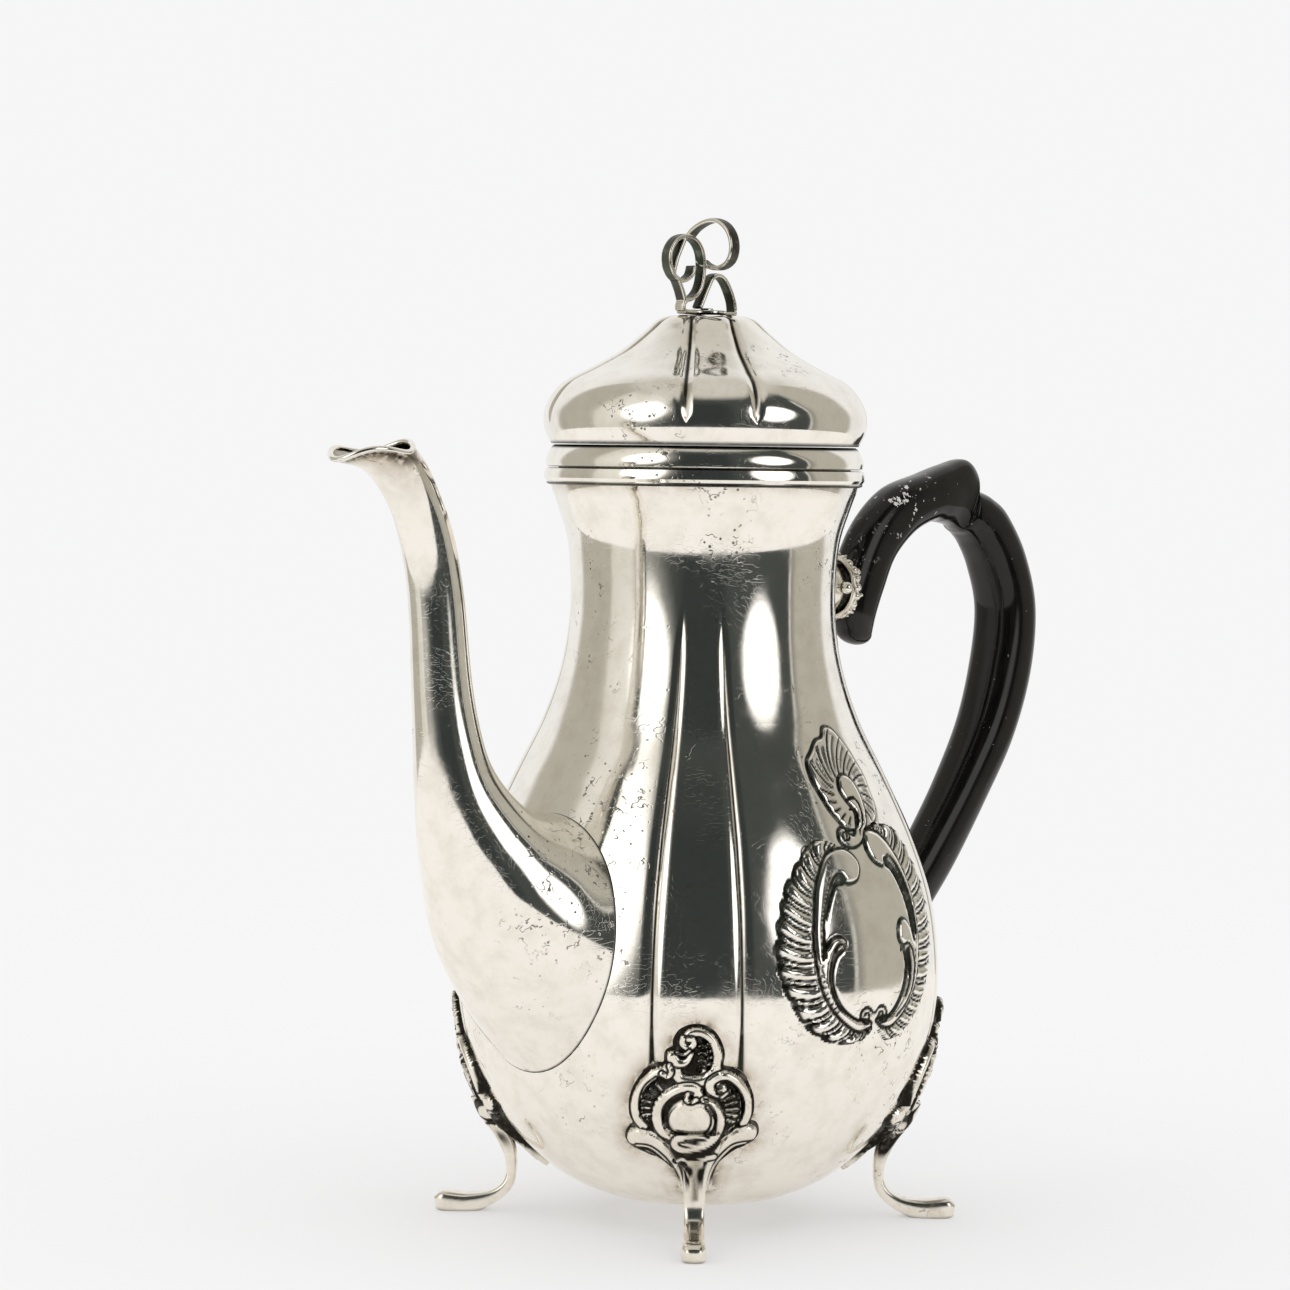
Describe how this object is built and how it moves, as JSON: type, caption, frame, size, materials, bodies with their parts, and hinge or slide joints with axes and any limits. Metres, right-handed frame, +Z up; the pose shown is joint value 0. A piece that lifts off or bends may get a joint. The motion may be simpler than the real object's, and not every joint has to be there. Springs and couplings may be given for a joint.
{
  "type": "coffee pot",
  "caption": "Pear-shaped silver coffee pot on scroll legs, with a long curved spout, a pinned black wooden handle and a lift-off domed lid with a scroll finial.",
  "frame": {"origin": "on the floor under the axis of the body, which is the middle of the object's box to within two millimetres", "axes": "+Z up along the body's axis, +X towards the handle, -X towards the spout, legs on the four diagonals"},
  "size_m": [0.2434, 0.1208, 0.2501],
  "materials": {
    "polished_silver": "polished silver with light wear",
    "cast_silver": "cast silver, dark patina in the hollows",
    "ebony": "polished black wood with small chips"
  },
  "bodies": {
    "pot": {"body_shell": "polished_silver", "base_plate": "polished_silver", "mouth_band": "polished_silver", "spout_shell": "polished_silver", "spout_lip_wire": "polished_silver", "leg_front_spout_side": "cast_silver", "leg_front_handle_side": "cast_silver", "leg_back_handle_side": "cast_silver", "leg_back_spout_side": "cast_silver", "upper_socket": "cast_silver", "upper_socket_beads": "cast_silver", "upper_socket_pin": "cast_silver", "lower_socket": "cast_silver", "lower_socket_beads": "cast_silver", "lower_socket_pin": "cast_silver", "handle": "ebony"},
    "lid": {"lid_dome": "polished_silver", "lid_rim": "polished_silver", "lid_bezel": "polished_silver", "finial_plate": "cast_silver", "finial_scrolls": "cast_silver", "finial_stud": "cast_silver", "finial_nut": "cast_silver"}
  },
  "joints": [
    {"name": "lid_lift", "type": "slide", "parent": "pot", "child": "lid", "axis": [0, 0, 1], "range_m": [0, 0.08]}
  ]
}
